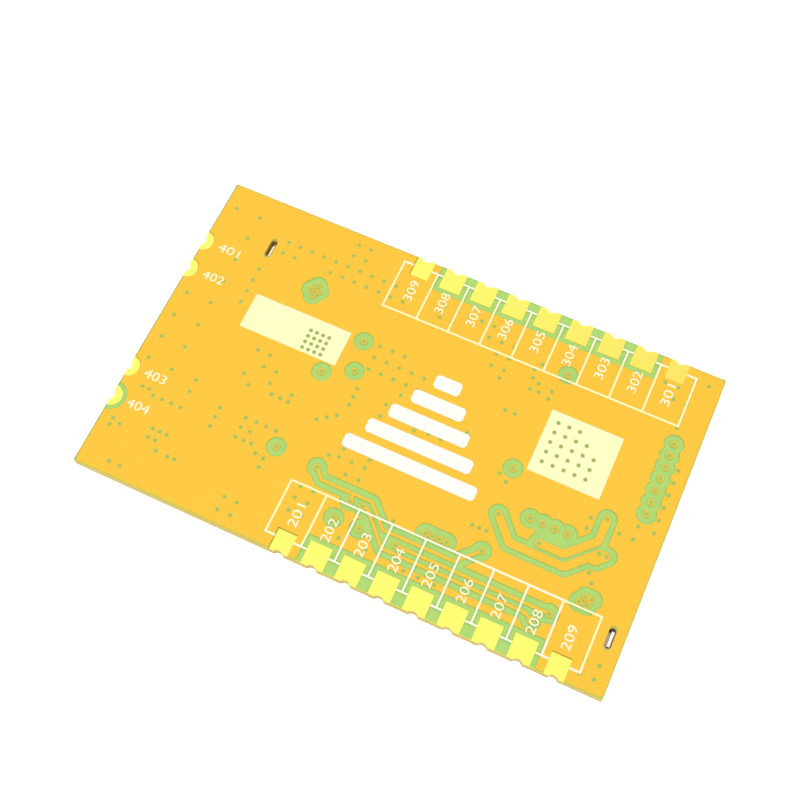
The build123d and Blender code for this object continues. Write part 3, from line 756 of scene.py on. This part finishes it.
def add_all_plugs():
    lands = ["via_lands"] + [name for name in nodes if "track" in name]
    pads = ["exposed_pad_left", "exposed_pad_right"]
    in_pour = pit_places(["underside_pour"], skin_top, masked_pit_depth)
    in_lands = pit_places(lands, skin_top, masked_pit_depth)
    in_pads = pit_places(pads, land_top, thermal_pit_depth)
    pour_plug = plug("pour_plug", plug_green, plug_rim, skin_top)
    land_plug = plug("land_plug", land_plug_green, land_plug_rim, skin_top)
    thermal_plug = plug("thermal_plug", pad_plug, pad_plug_rim, land_top)
    add_plugs("pour_plugs", in_pour, skin_top, plug_radius, pour_plug)
    add_plugs("land_plugs", in_lands, skin_top, land_plug_radius, land_plug)
    add_plugs("thermal_plugs", in_pads, land_top, thermal_plug_radius, thermal_plug)


def add_box(built, low, high):
    """A box between two opposite corners."""
    size = [abs(end - start) for start, end in zip(low, high)]
    middle = [(start + end) / 2 for start, end in zip(low, high)]
    place = Matrix.Translation(middle) @ Matrix.Diagonal((*size, 1))
    bmesh.ops.create_cube(built, size=1.0, matrix=place)


def add_end_line(built, number, top):
    """A curved painted shade hairline round the back of an end land, thinning out along the way."""
    low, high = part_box(f"pin_{number:02d}")
    middle = (low.y + high.y) / 2
    inner = high.x - board_low.x
    sections = []
    for step in range(end_line_steps + 1):
        share = step / end_line_steps
        angle = math.radians(end_line_from + (end_line_to - end_line_from) * share)
        outer = inner + end_line * (1 - share * end_line_taper) * MM
        across, along = math.cos(angle), math.sin(angle)
        corners = [(inner, skin_top), (inner, top), (outer, top), (outer, skin_top)]
        ring = []
        for radius, height in corners:
            spot = (board_low.x + radius * across, middle + radius * along, height)
            ring.append(built.verts.new(spot))
        sections.append(ring)
    skin(built, sections)


def add_shade_lines(material):
    """A painted shade hairline on the mask's rim at the ground lands, standing in for the shaded wall of
    the mask.
    """
    built = bmesh.new()
    width, inward = mask_line * MM, mask_line_inward * MM
    top = skin_top + mask_line_height * MM
    for number in sorted({*inner_line_pins, *left_line_pins}):
        low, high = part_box(f"pin_{number:02d}")
        if low.y < 0:
            inner, outer = high.y - inward, low.y
        else:
            inner, outer = low.y + inward, high.y
        if number in inner_line_pins:
            start = (low.x - width / 2, inner - width / 2, skin_top)
            add_box(built, start, (high.x, inner + width / 2, top))
        if number in left_line_pins:
            side = low.x + inward
            add_box(built, (side - width, inner, skin_top), (side, outer, top))
    for number in end_line_pins:
        add_end_line(built, number, top)
    add_built("shade_lines", built, material)


def add_slot_fill(material):
    """Solder between the right slot's wall and the can's leg, hollow across and lower at its ends."""
    low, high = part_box("slot_barrel_right")
    leg = min(spot.x for spot in leg_points() if spot.x > 0)
    wall = low.x + slot_wall * MM
    first, last = low.y + fill_end_gap * MM, low.y + (high.y - low.y) * fill_share
    foot, top = board_low.z + slot_wall * MM, board_high.z - fill_top * MM
    built = bmesh.new()
    sections = []
    for share, drop in fill_sections:
        y = first + (last - first) * share
        ring = [built.verts.new((wall, y, foot))]
        for step in range(fill_steps + 1):
            part = step / fill_steps
            sag = math.sin(math.pi * part) * fill_sag + drop * fill_top
            ring.append(built.verts.new((wall + (leg - wall) * part, y, top - sag * MM)))
        ring.append(built.verts.new((leg, y, foot)))
        sections.append(ring)
    skin(built, sections)
    add_built("slot_fill", built, material)


def bead_runs():
    """Each foot of the can on its outer side: its two ends and the direction away from the can."""
    low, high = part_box("shield_can")
    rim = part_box("rear_pour")[0].z
    can = nodes["shield_can"].data
    sides = [(0, low.x, Vector((-1, 0, 0))), (0, high.x, Vector((1, 0, 0)))]
    sides += [(1, low.y, Vector((0, -1, 0))), (1, high.y, Vector((0, 1, 0)))]
    runs = set()
    for edge in can.edges:
        ends = [can.vertices[index].co for index in edge.vertices]
        if any(abs(end.z - rim) > near * MM for end in ends):
            continue
        for axis, value, out in sides:
            if all(abs(end[axis] - value) < near * MM for end in ends):
                first, last = sorted([tuple(round(part, foot_digits) for part in end) for end in ends])
                runs.add((first, last, tuple(out)))
    return sorted(runs)


def bead_section(built, spot, out, reach):
    """A corner filled by a hollow quarter round: up the can's wall and out along the board."""
    ring = [built.verts.new(spot)]
    for step in range(bead_steps + 1):
        angle = math.pi / 2 * step / bead_steps
        down = Vector((0, 0, reach * (1 - math.cos(angle))))
        ring.append(built.verts.new(spot + out * reach * (1 - math.sin(angle)) - down))
    return ring


def add_beads(material):
    """Concave solder beads between the can's feet and the ground frame."""
    built = bmesh.new()
    size = bead_size * MM
    for run in bead_runs():
        first, last, out = [Vector(part) for part in run]
        if (last - first).length < shortest_bead * size:
            continue
        along = (last - first).normalized() * size
        inset = along * bead_end_inset
        stops = [(first + inset, bead_end_size), (first + along, 1.0)]
        stops += [(last - along, 1.0), (last - inset, bead_end_size)]
        skin(built, [bead_section(built, spot, out, size * share) for spot, share in stops])
    add_built("solder_beads", built, material)


def dress_nodes():
    orange = masked_copper()
    gold = pin_gold()
    bright = small_gold()
    cream = pad_gold()
    barrel = slot_plating()
    table_ink = ink("thin_ink", table_cream, table_cream_deep, table_over_green)
    package = moulded("package_black")
    looks = {
        "laminate_board": laminate(),
        "underside_pour": orange,
        "rear_pour": orange,
        "via_lands": orange,
        "exposed_pad_left": cream,
        "exposed_pad_right": cream,
        "slot_barrel_left": barrel,
        "slot_barrel_right": barrel,
        "ink_table_front": table_ink,
        "ink_table_back": table_ink,
        "ink_mark": ink("white_ink", mark_white, mark_cream),
        "antenna_line": bright,
        "shield_can": can_metal(),
        "transceiver": package,
        "power_amplifier": package,
        "antenna_switch": package,
        "regulator": package,
        "crystal": moulded("crystal_metal", grain=0.1, roughness=0.35, metallic=0.8),
        "supply_choke": moulded("choke_ferrite", grain=0.2, roughness=0.7),
        "chip_capacitors": moulded("capacitor_ceramic"),
        "chip_resistors": moulded("resistor_ceramic"),
        "chip_inductors": moulded("inductor_ceramic"),
        "socket_base": moulded("socket_plastic"),
        "socket_shell": bright,
        "socket_pin": bright,
        "socket_tabs": bright,
    }
    for name, node in nodes.items():
        if name.startswith("pin_"):
            look = gold
        elif "track" in name:
            look = orange
        else:
            look = looks[name]
        node.data.materials.clear()
        node.data.materials.append(look)


def soften_edges():
    for name in soft_nodes:
        bevel = nodes[name].modifiers.new("soft_edge", "BEVEL")
        bevel.width = soft_edge * MM
        bevel.segments = soft_edge_steps
        bevel.limit_method = "ANGLE"
        bevel.angle_limit = math.radians(soft_edge_angle)


add_camera()
add_light()
add_floor()
bpy.context.scene.view_settings.view_transform = "Standard"
dress_nodes()
soften_edges()
add_numbers(ink("number_ink", number_cream, number_cream_deep))
add_shade_lines(painted_rim_shade())
add_beads(solder("solder", solder_light, solder_dark, 0.8))
add_slot_fill(solder("slot_solder", slot_solder_light, slot_solder_dark, 0.0))
add_all_plugs()
